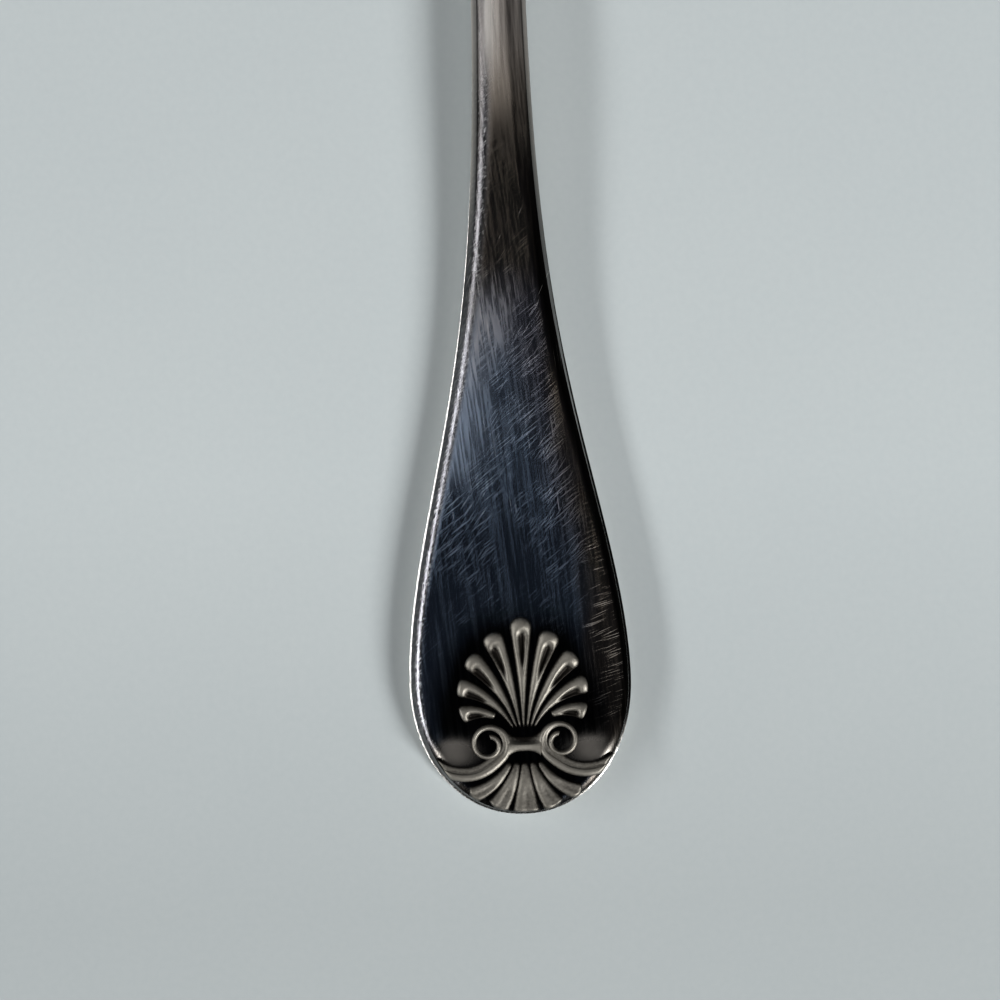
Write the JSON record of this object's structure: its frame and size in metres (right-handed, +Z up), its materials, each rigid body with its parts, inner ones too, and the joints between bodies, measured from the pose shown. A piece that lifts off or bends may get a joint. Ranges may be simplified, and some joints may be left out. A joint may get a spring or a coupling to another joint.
{
  "type": "master butter knife",
  "caption": "Flat-handled master butter knife with a raised anthemion on the rounded handle end, an arched stem and a broad upswept blade for serving butter.",
  "frame": {"origin": "on the table plane, on the handle's axis, under the widest part of the handle's end", "axes": "+Y from the handle's end to the blade's tip, +X towards the spine, +Z up from the table to the ornamented face"},
  "size_m": [0.0237, 0.1767, 0.004],
  "materials": {
    "handle_plate": "worn silver plate on nickel silver, satin with fine lengthwise and crossing scratches",
    "blade_plate": "worn silver plate on nickel silver, satin with fine use scratches",
    "relief_plate": "silver plate with dark oxide in the hollows and rubbed bright tops"
  },
  "bodies": {
    "root": {"handle": "handle_plate", "blade": "blade_plate", "rivets": "blade_plate", "palmette": "relief_plate", "scroll_left": "relief_plate", "scroll_right": "relief_plate", "tie_bar": "relief_plate", "base_fan": "relief_plate"}
  },
  "joints": []
}
